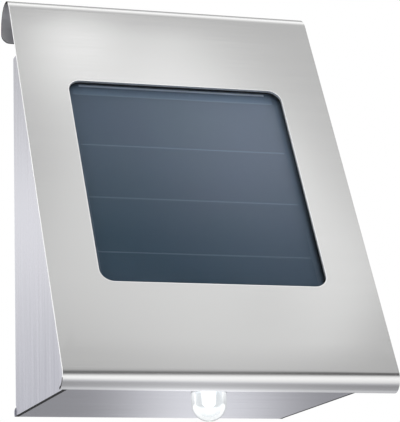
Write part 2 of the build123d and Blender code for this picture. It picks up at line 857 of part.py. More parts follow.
# Slide switch: the knob's foot is held in the body, and its stem comes out through the lid
foot_room = switch_foot_width + switch_travel + 2 * switch_play
foot_rise = switch_foot_height + 2 * switch_play
switch_front = board_front.offset(switch_depth)
foot_front = switch_front.offset(-switch_skin)
foot_back = foot_front.offset(-switch_foot_depth - switch_play)
with BuildPart() as switch_body:
    with BuildSketch(board_front):
        with Locations((switch_offset, board_v)):
            Rectangle(switch_width, switch_height)
    extrude(amount=switch_depth)
    with BuildSketch(foot_back):
        with Locations((switch_offset, board_v)):
            Rectangle(foot_room, foot_rise)
    extrude(amount=switch_foot_depth + switch_play, mode=Mode.SUBTRACT)
    with BuildSketch(foot_front):
        with Locations((switch_offset, board_v)):
            Rectangle(slot_width, slot_height)
    extrude(amount=switch_skin, mode=Mode.SUBTRACT)
switch_body.part.label = "switch_body"
export_step(switch_body.part, "parts/switch_body.step")

with BuildPart() as switch_knob:
    knob_x = switch_offset - switch_travel / 2
    stem_height = lid_front.origin.Y - switch_stem_proud - foot_back.origin.Y
    with BuildSketch(foot_back):
        with Locations((knob_x, board_v)):
            Rectangle(switch_foot_width, switch_foot_height)
    extrude(amount=switch_foot_depth)
    with BuildSketch(foot_back):
        with Locations((knob_x, board_v)):
            Rectangle(switch_stem_width, switch_stem_height)
    extrude(amount=-stem_height)
switch_knob.part.label = "switch_knob"
export_step(switch_knob.part, "parts/switch_knob.step")
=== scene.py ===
"""Solar wall spotlight: the finish of its pieces, a studio and the photograph's camera.

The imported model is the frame. The cover, the panel's glass, the lens, the LED, its reflector and the
fasteners are remade here as finer surfaces.
Lengths are in millimetres until they go into a mesh. X runs along the wall, Y into it, Z up.
"""

from math import radians

import bmesh
import bpy
import numpy as np
from mathutils import Matrix


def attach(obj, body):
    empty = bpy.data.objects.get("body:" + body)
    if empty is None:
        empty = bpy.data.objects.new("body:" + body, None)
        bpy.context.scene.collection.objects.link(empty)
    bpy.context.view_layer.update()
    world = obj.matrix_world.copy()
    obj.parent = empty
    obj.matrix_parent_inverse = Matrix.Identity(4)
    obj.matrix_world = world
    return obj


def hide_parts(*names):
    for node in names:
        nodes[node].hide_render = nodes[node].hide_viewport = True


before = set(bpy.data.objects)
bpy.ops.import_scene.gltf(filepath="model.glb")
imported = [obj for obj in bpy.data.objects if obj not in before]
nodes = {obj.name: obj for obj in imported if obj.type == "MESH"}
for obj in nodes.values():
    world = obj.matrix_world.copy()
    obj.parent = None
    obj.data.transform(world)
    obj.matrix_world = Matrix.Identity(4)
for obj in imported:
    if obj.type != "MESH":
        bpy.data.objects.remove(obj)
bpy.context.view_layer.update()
MM = 0.001

# Sizes of the model that the pieces below share
SHEET = 1.0
HALF_COVER = 62.5
SLANT = radians(28.4)
ROLL_Y, ROLL_Z, ROLL_RADIUS = -19.8, 33.88776, 9.0
LIP_Y, LIP_Z, LIP_RADIUS = -107.5, -119.9, 5.0
LIP_END = radians(275.0)
FACE_ANGLE = radians(180.0 - 28.4)
FLANGE_DROP, FLANGE_CORNER = 5.6, 3.6
SLOPE_LENGTH = 176.9914
WINDOW_WIDTH, WINDOW_HEIGHT, WINDOW_CORNER, HIGHLIGHT_RING_WIDTH = 87.0, 99.9914, 5.3, 0.4
PANEL_WIDTH, PANEL_HEIGHT, PANEL_MIDDLE, PANEL_CORNER = 99.0, 121.4914, 81.7457, 2.0
CELLS_TOP, RIB, RIBS_REACH = 134.4914, 0.60, 41.0
GLINT_MIDDLE, GLINT_HALF, GLINT_REACH = 139.4, 0.5, 38.2
SIDE_SHADE_START, SIDE_SHADE_FULL = 42.5, 44.3
STUD_ACROSS, STUD_UP = 32.0, 67.2457
UNDERSIDE = -122.0
LENS_SETBACK, LAMP_STUD_ACROSS = 80.0, 18.0
CASE_MIDDLE, SCREW_ACROSS, SCREW_UP, SCREW_SEAT = -62.0, 33.6, 24.6, -27.8
# Nuts: width across flats, height, bore. Studs: radius, length.
NUT = (5.5, 2.4, 1.55)
CLAMP_STUD, LAMP_STUD = (1.5, 4.9), (1.5, 6.9)
# Screws: radius and height of the head, radius and length of the shank.
CASE_SCREW = (2.6, 1.8, 1.25, 10.0)
# Points closer than this are one point, and edges shorter than this are dropped.
WELD, SLIVER = 0.002, 0.001
CRISP_ANGLE = radians(35)
# The cover's edges are eased where they turn by more than this angle.
EDGE_EASE, EDGE_ANGLE = 0.08, radians(40)
LAMP_FACETS = 96

# The slope's own directions: across, up the slope and out of its face, from the foot of the slope
ACROSS = np.array([1.0, 0.0, 0.0])
UP = np.array([0.0, np.sin(SLANT), np.cos(SLANT)])
OUT = np.array([0.0, -np.cos(SLANT), np.sin(SLANT)])
FOOT = np.array([0.0, LIP_Y, LIP_Z]) + LIP_RADIUS * OUT


# Colours and nodes

# The span that a noise texture mostly keeps to, for maps from it
NOISE_SPAN = {"From Min": 0.3, "From Max": 0.7}


def linear(code):
    """Linear RGBA of an sRGB hex colour."""
    srgb = np.array([int(code[i : i + 2], 16) for i in (0, 2, 4)]) / 255
    curve = np.where(srgb <= 0.04045, srgb / 12.92, ((srgb + 0.055) / 1.055) ** 2.4)
    return (*curve.tolist(), 1.0)


def add(tree, kind, inputs=None, **settings):
    """Adds a node with its settings; each input takes a value, or a link from a socket."""
    node = tree.nodes.new("ShaderNode" + kind)
    for key, value in settings.items():
        setattr(node, key, value)
    for key, value in (inputs or {}).items():
        if isinstance(value, bpy.types.NodeSocket):
            tree.links.new(value, node.inputs[key])
        else:
            node.inputs[key].default_value = value
    return node


def finish(name):
    """A new material with an empty node tree."""
    material = bpy.data.materials.new(name)
    material.use_nodes = True
    material.node_tree.nodes.clear()
    return material, material.node_tree


# Surfaces


def grid_faces(rows, columns, start=0):
    """Quads of a grid of points stored row by row: each joins a point to the next row and column."""
    point = start + np.arange(rows * columns).reshape(rows, columns)
    corners = (point[:-1, :-1], point[1:, :-1], point[1:, 1:], point[:-1, 1:])
    return np.stack(corners, axis=-1).reshape(-1, 4)


def piece(name, patches, body, material, stands_for, shades=None):
    """Makes one mesh object from grids of points in millimetres, welds their shared edges, and seats it.

    The shades are the patches' material slots, all the first one when left out."""
    points = np.concatenate([patch.reshape(-1, 3) for patch in patches]) * MM
    starts = np.cumsum([0] + [patch.shape[0] * patch.shape[1] for patch in patches[:-1]])
    faces = [grid_faces(*patch.shape[:2], start) for patch, start in zip(patches, starts)]
    mesh = bpy.data.meshes.new(name)
    mesh.from_pydata(points.tolist(), [], np.concatenate(faces).tolist())
    if shades:
        counts = [len(patch_faces) for patch_faces in faces]
        mesh.polygons.foreach_set("material_index", np.repeat(shades, counts))
    welded = bmesh.new()
    welded.from_mesh(mesh)
    bmesh.ops.remove_doubles(welded, verts=welded.verts, dist=WELD * MM)
    bmesh.ops.dissolve_degenerate(welded, edges=welded.edges, dist=SLIVER * MM)
    welded.to_mesh(mesh)
    welded.free()
    mesh.materials.append(material)
    mesh.shade_smooth()
    thing = bpy.data.objects.new(name, mesh)
    bpy.context.scene.collection.objects.link(thing)
    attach(thing, body)
    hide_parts(stands_for)
    return thing


def flat_faces(thing):
    """Turns a closed piece's faces outward and keeps its edges sharper than CRISP_ANGLE crisp."""
    shell = bmesh.new()
    shell.from_mesh(thing.data)
    bmesh.ops.recalc_face_normals(shell, faces=shell.faces)
    shell.to_mesh(thing.data)
    shell.free()
    thing.data.set_sharp_from_angle(angle=CRISP_ANGLE)


def cover_skin():
    """The outer face of the bent cover as four patches with shared edges.

    The cover's side line is carried along X: flange, rolled edge and lip are rows of points, a row for each
    step along that line, and near the flange's end a row is narrowed by the quarter circle of its corners.
    The slope is a ring: each point lies between the plate's own edge and a narrow border round the window,
    whose inner line is the window's rounded edge; that border carries a painted highlight.
    """
    half_width, half_height = WINDOW_WIDTH / 2, WINDOW_HEIGHT / 2
    straight_x, straight_v = half_width - WINDOW_CORNER, half_height - WINDOW_CORNER
    half_slope = SLOPE_LENGTH / 2
    eighth = np.linspace(0, np.pi / 4, 7)
    side = np.linspace(-1, 1, 9)[1:-1]

    def quarter(straight_a, straight_b, reach_a, reach_b):
        """A quarter of the three loops over one side of the window, from one corner's middle to the next."""
        rise = np.pi * 3 / 4 - eighth
        corner = np.stack([np.cos(rise), np.sin(rise)], -1)
        loops = []
        # The outer loop is the edge of the painted highlight ring round the window.
        for radius in (WINDOW_CORNER, WINDOW_CORNER + HIGHLIGHT_RING_WIDTH):
            left = radius * corner + np.array([-straight_a, straight_b])
            flat = np.stack([side * straight_a, np.full_like(side, straight_b + radius)], -1)
            loops.append(np.concatenate([left, flat, left[::-1] * np.array([-1, 1])]))
        spread = np.linspace(-reach_a, -straight_a, len(eighth))
        along = np.concatenate([spread, side * straight_a, -spread[::-1]])
        return *loops, np.stack([along, np.full_like(along, reach_b)], -1)

    def on_slope(flat):
        """Closes loops in the slope's own plane and carries them into space."""
        closed = np.concatenate([flat, flat[:, :1]], axis=1)
        return FOOT + closed[..., :1] * ACROSS + (closed[..., 1:] + half_slope) * UP

    top = quarter(straight_x, straight_v, HALF_COVER, half_slope)
    end = quarter(straight_v, straight_x, half_slope, HALF_COVER)
    turn = np.array([[0, -1], [1, 0]])
    inner, border, outer = (np.concatenate([a, b @ turn, -a, -b @ turn]) for a, b in zip(top, end))
    share = np.linspace(0, 1, 4)[:, None, None]
    ring = on_slope(outer * (1 - share) + border * share)
    rim = on_slope(np.stack([border, inner]))

    columns = top[2][:, 0]
    bend = np.linspace(0, np.pi / 2, 9)
    flange_neck = 1.0
    drop = np.concatenate([FLANGE_DROP - FLANGE_CORNER * (1 - np.cos(bend)), [flange_neck]])
    narrow = np.concatenate([HALF_COVER - FLANGE_CORNER * (1 - np.sin(bend)), [HALF_COVER]])
    roll_turn = np.linspace(0, FACE_ANGLE, 45)
    roll_y = ROLL_Y + ROLL_RADIUS * np.cos(roll_turn)
    roll_z = ROLL_Z + ROLL_RADIUS * np.sin(roll_turn)
    line_y = np.concatenate([np.full_like(drop, ROLL_Y + ROLL_RADIUS), roll_y])
    line_z = np.concatenate([ROLL_Z - drop, roll_z])
    width = np.concatenate([narrow, np.full_like(roll_turn, HALF_COVER)]) / HALF_COVER
    hook = np.stack(
        [
            width[:, None] * columns,
            np.broadcast_to(line_y[:, None], (len(width), len(columns))),
            np.broadcast_to(line_z[:, None], (len(width), len(columns))),
        ],
        -1,
    )
    lip_turn = np.linspace(FACE_ANGLE, LIP_END, 37)
    lip_y = LIP_Y + LIP_RADIUS * np.cos(lip_turn)
    lip_z = LIP_Z + LIP_RADIUS * np.sin(lip_turn)
    lip = np.stack(
        [
            np.broadcast_to(columns, (len(lip_turn), len(columns))),
            np.broadcast_to(lip_y[:, None], (len(lip_turn), len(columns))),
            np.broadcast_to(lip_z[:, None], (len(lip_turn), len(columns))),
        ],
        -1,
    )
    return hook, ring, rim, lip


def turned(radius, height, centre, first, second, axis, steps):
    """A profile turned about an axis: each point is its radius in the plane of the first and second
    directions, at an angle that goes once round in even steps, plus its height along the axis."""
    turn = np.linspace(0, 2 * np.pi, steps + 1)[:, None, None]
    spoke = np.cos(turn) * first + np.sin(turn) * second
    return centre + radius[..., None] * spoke + height[..., None] * axis


def pane():
    """The panel's glass: a rounded outline carried from the front's middle over eased edges to the back."""
    half_x, half_v, ease = PANEL_WIDTH / 2, PANEL_HEIGHT / 2, 0.3
    # Depths behind the cover's face, clear of the gasket and the cells by a hair
    front, back = 2.01, 3.95
    corner = np.linspace(0, np.pi / 2, 7)
    quarter = np.stack([np.cos(corner), np.sin(corner)], -1) * PANEL_CORNER
    quarter = quarter + np.array([half_x, half_v]) - PANEL_CORNER
    top = np.concatenate([quarter, quarter[::-1] * np.array([-1, 1])])
    outline = np.concatenate([top, -top])
    outline = np.concatenate([outline, outline[:1]])
    share = np.array([0, 1 - ease / half_x, 1, 1, 1 - ease / half_x, 0])[:, None, None]
    depth = np.array([front, front, front + ease, back - ease, back, back])[:, None, None]
    flat = share * outline
    return FOOT + flat[..., :1] * ACROSS + (flat[..., 1:] + PANEL_MIDDLE) * UP - depth * OUT


def nut(centre, first, second, axis, across_flats, height, bore):
    """A hexagon nut: its radius is the hexagon's at each angle, and its ends fall off as cones outside the
    circle that fits in the flats. The profile goes up the bore, over the top, down the side and back."""
    steps, cone = 48, 0.6
    turn = np.linspace(0, 2 * np.pi, steps + 1)
    flat = across_flats / 2
    hexagon = flat / np.cos((turn + np.pi / 6) % (np.pi / 3) - np.pi / 6)
    fall = (hexagon - flat) * cone
    low = np.zeros_like(turn)
    high, hole, ring = low + height, low + bore, low + flat
    radius = np.stack([hole, hole, ring, hexagon, hexagon, ring, hole], -1)
    rise = np.stack([low, high, high, height - fall, fall, low, low], -1)
    return turned(radius, rise, centre, first, second, axis, steps)


def stud(centre, first, second, axis, radius, length):
    """A threaded stud: its radius is a triangle wave of the height less the turn, so the wave climbs as a
    thread, and it fades to a smooth chamfered end. The real pitch is 0.5 mm; it is drawn 0.75 mm to show."""
    steps, pitch, groove = 24, 0.75, 0.22
    rows_per_pitch, run_out, chamfer = 6, 0.4, 0.25
    turn = np.linspace(0, 2 * np.pi, steps + 1)[:, None]
    rise = np.linspace(0, length, int(length / pitch * rows_per_pitch))[None, :]
    wave = np.abs((rise / pitch - turn / (2 * np.pi)) % 1 - 0.5) * 2
    fade = np.clip((length - rise) / run_out, 0, 1)
    grooved = radius - groove * (1 - wave) * fade - chamfer * (1 - fade)
    radii = np.concatenate([np.zeros_like(turn), grooved, np.zeros_like(turn)], axis=1)
    heights = np.broadcast_to(np.concatenate([[0], rise[0], [length]]), radii.shape)
    return turned(radii, heights, centre, first, second, axis, steps)


def screw(centre, first, second, axis, head, head_height, shank, length):
    """A pan-head screw: a low dome less a cross-shaped pit whose arms are smooth steps in both directions,
    then the rim, the underside of the head and the shank."""
    steps = 72
    turn = np.linspace(0, 2 * np.pi, steps + 1)[:, None]
    span = np.linspace(0, 1, 22)[None, :]
    reach = head * span
    along, beside = np.abs(reach * np.cos(turn)), np.abs(reach * np.sin(turn))
    arm, arm_ease = 1.55, 0.25
    slot, slot_ease = 0.32, 0.12
    dome, pit = 0.45, 1.0
    upright = np.clip((arm - along) / arm_ease, 0, 1) * np.clip((slot - beside) / slot_ease + 1, 0, 1)
    level = np.clip((arm - beside) / arm_ease, 0, 1) * np.clip((slot - along) / slot_ease + 1, 0, 1)
    top = head_height * (1 - dome * span**3) - pit * np.maximum(upright, level)
    one = np.ones_like(turn)
    radius = np.concatenate([reach * one, head * one, shank * one, shank * one, 0 * one], axis=1)
    rise = np.concatenate([top, 0 * one, 0 * one, -length * one, -length * one], axis=1)
    return turned(radius, rise, centre, first, second, axis, steps)


def lens_profile():
    """Radii and heights round the lens's section: dome, neck, flange, bore, inner dome, back to the axis."""
    neck, mid_neck, seat, top = -4.0, -2.0, 2.0, 3.5
    outer, bore, flange, ease = 6.5, 5.0, 9.5, 0.25
    dome = np.linspace(-np.pi / 2, 0, 25)
    corner = np.linspace(0, np.pi / 2, 5)
    radius = np.concatenate(
        [
            outer * np.cos(dome),
            [outer, outer, flange - ease],
            flange - ease + ease * np.sin(corner),
            flange - ease + ease * np.cos(corner),
            [bore + ease],
            bore + ease * (1 - np.sin(corner)),
            bore * np.cos(dome[::-1]),
        ]
    )
    height = np.concatenate(
        [
            neck + outer * np.sin(dome),
            [mid_neck, seat, seat],
            seat + ease * (1 - np.cos(corner)),
            top - ease + ease * np.sin(corner),
            [top],
            top - ease * (1 - np.cos(corner)),
            neck + bore * np.sin(dome[::-1]),
        ]
    )
    return radius, height


def led_profile():
    """Radii and heights of the LED from its tip: half dome, straight body, collar, back to the axis."""
    tip, collar_foot, seat = -5.3, 3.7, 4.7
    radius, collar = 2.5, 2.9
    dome = np.linspace(-np.pi / 2, 0, 17)
    radii = np.concatenate([radius * np.cos(dome), [radius, collar, collar, 0.0]])
    heights = np.concatenate([tip + radius + radius * np.sin(dome), [collar_foot, collar_foot, seat, seat]])
    return radii, heights


def reflector_profile():
    """Radii and heights round the reflector's section: cone, edge, skirt, flange and back to the throat."""
    throat, mouth, skirt, flange = 3.1, 4.4, 4.8, 7.1
    foot, shelf, seat = 0.5, 3.5, 4.7
    radii = np.array([throat, mouth, skirt, skirt, flange, flange, throat])
    heights = np.array([seat, foot, foot, shelf, shelf, seat, seat])
    return radii, heights


# Metals


def stainless_cover():
    """Stainless steel sheet, brushed along its width and satin: soft reflections with very fine streaks."""
    material, tree = finish("stainless_sheet_brushed_cover")
    place = add(tree, "TexCoord").outputs["Object"]
    # The real grain is about 0.05 mm wide; it is drawn 0.35 mm wide and 45 mm long so that it shows.
    wide, long = 0.35 * MM, 45.0 * MM
    streaks = add(tree, "Mapping", {"Vector": place, "Scale": (1 / long, 1 / wide, 1 / wide)})
    grain = add(tree, "TexNoise", {"Vector": streaks.outputs[0], "Scale": 1.0, "Detail": 3.0})
    rough = add(
        tree,
        "MapRange",
        {"Value": grain.outputs[0], **NOISE_SPAN, "To Min": 0.14, "To Max": 0.18},
    )
    colour = add(
        tree,
        "Mix",
        {0: grain.outputs[0], 6: linear("c8c8c8"), 7: linear("cfcfce")},
        data_type="RGBA",
    )
    bump = add(tree, "Bump", {"Height": grain.outputs[0], "Strength": 0.012, "Distance": 0.00002})
    shader = add(
        tree,
        "BsdfPrincipled",
        {
            "Base Color": colour.outputs[2],
            "Metallic": 1.0,
            "Roughness": rough.outputs[0],
            "Normal": bump.outputs[0],
        },
    )
    add(tree, "OutputMaterial", {"Surface": shader.outputs[0]})
    return material


def sheared_edge():
    """The cover's cut edge: bright, dull steel with fine shear marks across the sheet, and black and matt
    with painted shade at the ends of the rolled edge and of the curled lip."""
    material, tree = finish("stainless_sheet_sheared_edge")
    place = add(tree, "TexCoord").outputs["Object"]
    marks = add(tree, "TexNoise", {"Vector": place, "Scale": 1 / 0.0006, "Detail": 2.0})
    bright = add(
        tree,
        "Mix",
        {0: marks.outputs[0], 6: linear("eeeeee"), 7: linear("fafafa")},
        data_type="RGBA",
    )
    away = add(tree, "SeparateXYZ", {"Vector": place})
    # Painted shade: the cut edge is black and matt below the lip's end and over the back of the roll and the
    # flange.
    lip_shade_below, roll_shade_behind = -121.2 * MM, -24.5 * MM
    lip_end = add(tree, "Math", {0: away.outputs["Z"], 1: lip_shade_below}, operation="LESS_THAN")
    roll_end = add(tree, "Math", {0: away.outputs["Y"], 1: roll_shade_behind}, operation="GREATER_THAN")
    edge_shade = add(tree, "Math", {0: lip_end.outputs[0], 1: roll_end.outputs[0]}, operation="MAXIMUM")
    colour = add(
        tree,
        "Mix",
        {0: edge_shade.outputs[0], 6: bright.outputs[2], 7: linear("141416")},
        data_type="RGBA",
    )
    metal = add(tree, "Math", {0: 1.0, 1: edge_shade.outputs[0]}, operation="SUBTRACT")
    rough = add(tree, "Mix", {0: edge_shade.outputs[0], 2: 0.55, 3: 0.9})
    shader = add(
        tree,
        "BsdfPrincipled",
        {"Base Color": colour.outputs[2], "Metallic": metal.outputs[0], "Roughness": rough.outputs[0]},
    )
    add(tree, "OutputMaterial", {"Surface": shader.outputs[0]})
    return material


def stainless_housing(name, grain_size, colours, rough_low, rough_high, below):
    """Stainless steel sheet with a coarser brushed grain that runs along the longest grain size.

    below gives a height, and under it a tint for the colour, a metallic and a roughness: painted shade, which
    makes the shell's lower edge black and matt along its seam with the bottom plate and darkens the bottom
    plate's underside. The inside isn't brushed and stays dull."""
    material, tree = finish(name)
    place = add(tree, "TexCoord").outputs["Object"]
    streaks = add(tree, "Mapping", {"Vector": place, "Scale": tuple(1 / (size * MM) for size in grain_size)})
    grain = add(tree, "TexNoise", {"Vector": streaks.outputs[0], "Scale": 1.0, "Detail": 4.0})
    brushed_rough = add(
        tree,
        "MapRange",
        {"Value": grain.outputs[0], **NOISE_SPAN, "To Min": rough_low, "To Max": rough_high},
    )
    away = add(tree, "SeparateXYZ", {"Vector": place})
    # Under the given height the tint paints shade into the colour.
    low_height, shade_tint, low_metallic, low_rough = below
    low = add(tree, "Math", {0: away.outputs["Z"], 1: low_height * MM}, operation="LESS_THAN")
    brushed = add(
        tree,
        "Mix",
        {0: grain.outputs[0], 6: linear(colours[0]), 7: linear(colours[1])},
        data_type="RGBA",
    )
    colour = add(
        tree,
        "Mix",
        {0: low.outputs[0], 6: brushed.outputs[2], 7: linear(shade_tint)},
        data_type="RGBA",
        blend_type="MULTIPLY",
    )
    metallic = 1.0
    if low_metallic < 1.0:
        metallic = add(tree, "Mix", {0: low.outputs[0], 2: 1.0, 3: low_metallic}).outputs[0]
    # The inside starts half a sheet in from the outer faces.
    wall_x, wall_y, floor_z = 55.0 * MM, -0.5 * MM, -121.5 * MM
    reach = add(tree, "Math", {0: away.outputs["X"]}, operation="ABSOLUTE")
    between = add(tree, "Math", {0: reach.outputs[0], 1: wall_x}, operation="LESS_THAN")
    in_front = add(tree, "Math", {0: away.outputs["Y"], 1: wall_y}, operation="LESS_THAN")
    on_top = add(tree, "Math", {0: away.outputs["Z"], 1: floor_z}, operation="GREATER_THAN")
    within = add(tree, "Math", {0: between.outputs[0], 1: in_front.outputs[0]}, operation="MULTIPLY")
    inside = add(tree, "Math", {0: within.outputs[0], 1: on_top.outputs[0]}, operation="MULTIPLY")
    dulled = add(tree, "Mix", {0: inside.outputs[0], 2: brushed_rough.outputs[0], 3: 0.55})
    rough = add(tree, "Mix", {0: low.outputs[0], 2: dulled.outputs[0], 3: low_rough})
    bump = add(tree, "Bump", {"Height": grain.outputs[0], "Strength": 0.08, "Distance": 0.00003})
    shader = add(
        tree,
        "BsdfPrincipled",
        {
            "Base Color": colour.outputs[2],
            "Metallic": metallic,
            "Roughness": rough.outputs[0],
            "Normal": bump.outputs[0],
        },
    )
    add(tree, "OutputMaterial", {"Surface": shader.outputs[0]})
    return material


def plated(name, colour_low, colour_high, patch_mm, rough_low, rough_high):
    """Plated steel: bright metal whose tone drifts a little in soft patches of the given size."""
    material, tree = finish(name)
    place = add(tree, "TexCoord").outputs["Object"]
    patch = add(tree, "TexNoise", {"Vector": place, "Scale": 1 / (patch_mm * MM), "Detail": 3.0})
    colour = add(
        tree,
        "Mix",
        {0: patch.outputs[0], 6: linear(colour_low), 7: linear(colour_high)},
        data_type="RGBA",
    )
    rough = add(
        tree,
        "MapRange",
        {"Value": patch.outputs[0], **NOISE_SPAN, "To Min": rough_low, "To Max": rough_high},
    )
    shader = add(
        tree,
        "BsdfPrincipled",
        {"Base Color": colour.outputs[2], "Metallic": 1.0, "Roughness": rough.outputs[0]},
    )
    add(tree, "OutputMaterial", {"Surface": shader.outputs[0]})
    return material


# Panel


def panel_solar_glass():
    """Rolled solar glass with an etched, low-reflection front: clear, faintly cool, and satin, so it mirrors
    the studio only as a soft veil. The etch's low reflection is given by an IOR below plain glass."""
    material, tree = finish("solar_glass_rolled_etched")
    place = add(tree, "TexCoord").outputs["Object"]
    # The etch is even to the eye; it drifts a little over about 40 mm.
    etch = add(tree, "TexNoise", {"Vector": place, "Scale": 1 / 0.040, "Detail": 1.0})
    rough = add(
        tree,
        "MapRange",
        {"Value": etch.outputs[0], **NOISE_SPAN, "To Min": 0.04, "To Max": 0.05},
    )
    shader = add(
        tree,
        "BsdfPrincipled",
        {
            "Base Color": linear("f2f6fb"),
            "Roughness": rough.outputs[0],
            "IOR": 1.05,
            "Transmission Weight": 1.0,
        },
    )
    add(tree, "OutputMaterial", {"Surface": shader.outputs[0]})
    return material


def panel_painted_light(tree, place):
    """How far the panel's painted light has raised its tone at a place: 0 at the panel's lower left, 1 at its
    upper right.
    """
    left, right, left_tone = -45.0 * MM, 35.0 * MM, 0.52
    low, high, low_tone = -90.0 * MM, -8.0 * MM, 0.32
    darkest = 0.25
    away = add(tree, "SeparateXYZ", {"Vector": place})
    across = add(
        tree,
        "MapRange",
        {"Value": away.outputs["X"], "From Min": left, "From Max": right, "To Min": left_tone, "To Max": 1.0},
        interpolation_type="SMOOTHSTEP",
    )
    upward = add(
        tree,
        "MapRange",
        {"Value": away.outputs["Z"], "From Min": low, "From Max": high, "To Min": low_tone, "To Max": 1.0},
        interpolation_type="SMOOTHSTEP",
    )
    film = add(tree, "Math", {0: across.outputs[0], 1: upward.outputs[0]}, operation="MULTIPLY")
    return add(tree, "MapRange", {"Value": film.outputs[0], "From Min": darkest, "From Max": 1.0}).outputs[0]


def silicon_strips():
    """Monocrystalline silicon with a blue-grey antireflection film: a dark slate. Painted light makes the
    tone rise slowly from the lower left of the panel to its upper right; soft clouds vary it."""
    material, tree = finish("silicon_cell_coated")
    place = add(tree, "TexCoord").outputs["Object"]
    # Painted light: the tone rises towards the upper right.
    share = panel_painted_light(tree, place)
    painted_light_tone = add(
        tree,
        "Mix",
        {0: share, 6: linear("3b4b57"), 7: linear("7d8590")},
        data_type="RGBA",
    )
    cloud = add(tree, "TexNoise", {"Vector": place, "Scale": 1 / 0.030, "Detail": 2.0})
    colour = add(
        tree,
        "Mix",
        {0: 0.04, 6: painted_light_tone.outputs[2], 7: cloud.outputs["Color"]},
        data_type="RGBA",
        blend_type="SOFT_LIGHT",
    )
    shader = add(
        tree,
        "BsdfPrincipled",
        {"Base Color": colour.outputs[2], "Roughness": 0.4, "IOR": 1.5, "Specular IOR Level": 0.1},
    )
    add(tree, "OutputMaterial", {"Surface": shader.outputs[0]})
    return material


def panel_backing():
    """Laminated polymer backing sheet: dark blue outside the cells, with painted shade beside them, paler
    ribs in the gaps between them and along their top, a painted highlight as a pale line under the window's
    top edge, and a black band of painted shade at the sides."""
    material, tree = finish("backsheet_laminate")
    place = add(tree, "TexCoord").outputs["Object"]
    away = add(tree, "SeparateXYZ", {"Vector": place})
    reach = add(tree, "Math", {0: away.outputs["X"]}, operation="ABSOLUTE")
    middle = add(tree, "Math", {0: reach.outputs[0], 1: RIBS_REACH * MM}, operation="LESS_THAN")
    height = add(tree, "VectorMath", {0: place, 1: tuple(UP)}, operation="DOT_PRODUCT")
    ribs_end = (FOOT @ UP + CELLS_TOP + RIB) * MM
    under = add(tree, "Math", {0: height.outputs["Value"], 1: ribs_end}, operation="LESS_THAN")
    rib = add(tree, "Math", {0: middle.outputs[0], 1: under.outputs[0]}, operation="MULTIPLY")
    # The laminate's tones rise with the cells' under the same painted light.
    share = panel_painted_light(tree, place)
    border = add(
        tree,
        "Mix",
        {0: share, 6: linear("4f5f6d"), 7: linear("788797")},
        data_type="RGBA",
    )
    # Painted shade: the laminate beside the cells is darkened, where the window's edges shade it.
    beside = add(tree, "Math", {0: reach.outputs[0], 1: RIBS_REACH * MM}, operation="GREATER_THAN")
    shaded = add(
        tree,
        "Mix",
        {0: beside.outputs[0], 6: border.outputs[2], 7: linear("e1e1e1")},
        data_type="RGBA",
        blend_type="MULTIPLY",
    )
    gap = add(
        tree,
        "Mix",
        {0: share, 6: linear("4a5c68"), 7: linear("8996a1")},
        data_type="RGBA",
    )
    # Painted highlight: a pale line under the window's top edge.
    glint_tone = add(
        tree,
        "Mix",
        {0: share, 6: linear("bccad8"), 7: linear("eaf4ff")},
        data_type="RGBA",
    )
    ribbed = add(
        tree,
        "Mix",
        {0: rib.outputs[0], 6: shaded.outputs[2], 7: gap.outputs[2]},
        data_type="RGBA",
    )
    # The painted highlight's line lies along the window's top edge.
    glint_height = (FOOT @ UP + GLINT_MIDDLE) * MM
    glint_line = add(
        tree,
        "Math",
        {0: height.outputs["Value"], 1: glint_height, 2: GLINT_HALF * MM},
        operation="COMPARE",
    )
    glint_reach = add(tree, "Math", {0: reach.outputs[0], 1: GLINT_REACH * MM}, operation="LESS_THAN")
    glint = add(tree, "Math", {0: glint_reach.outputs[0], 1: glint_line.outputs[0]}, operation="MULTIPLY")
    glinted = add(
        tree,
        "Mix",
        {0: glint.outputs[0], 6: ribbed.outputs[2], 7: glint_tone.outputs[2]},
        data_type="RGBA",
    )
    # Painted shade: a black band along the window's sides, paler towards the upper right with the painted
    # light.
    side_shade = add(
        tree,
        "MapRange",
        {"Value": reach.outputs[0], "From Min": SIDE_SHADE_START * MM, "From Max": SIDE_SHADE_FULL * MM},
        interpolation_type="SMOOTHSTEP",
    )
    black = add(
        tree,
        "Mix",
        {0: share, 6: linear("0e1114"), 7: linear("545c64")},
        data_type="RGBA",
    )
    side_shaded = add(
        tree,
        "Mix",
        {0: side_shade.outputs[0], 6: glinted.outputs[2], 7: black.outputs[2]},
        data_type="RGBA",
    )
    speck = add(tree, "TexNoise", {"Vector": place, "Scale": 1 / 0.0012, "Detail": 2.0})
    colour = add(
        tree,
        "Mix",
        {0: 0.08, 6: side_shaded.outputs[2], 7: speck.outputs["Color"]},
        data_type="RGBA",
        blend_type="SOFT_LIGHT",
    )
    shader = add(tree, "BsdfPrincipled", {"Base Color": colour.outputs[2], "Roughness": 0.55, "IOR": 1.5})
    add(tree, "OutputMaterial", {"Surface": shader.outputs[0]})
    return material


# Plastics, rubber and electronics


def moulded(name, colour_low, colour_high, grain_mm, rough, depth_mm):
    """A moulded part with a fine spark-eroded grain: small bumps, and a tone that varies with them."""
    material, tree = finish(name)
    place = add(tree, "TexCoord").outputs["Object"]
    grain = add(tree, "TexNoise", {"Vector": place, "Scale": 1 / (grain_mm * MM), "Detail": 4.0})
    colour = add(
        tree,
        "Mix",
        {0: grain.outputs[0], 6: linear(colour_low), 7: linear(colour_high)},
        data_type="RGBA",
    )
    bump = add(tree, "Bump", {"Height": grain.outputs[0], "Strength": 0.4, "Distance": depth_mm * MM})
    shader = add(
        tree,
        "BsdfPrincipled",
        {"Base Color": colour.outputs[2], "Roughness": rough, "IOR": 1.53, "Normal": bump.outputs[0]},
    )
    add(tree, "OutputMaterial", {"Surface": shader.outputs[0]})
    return material


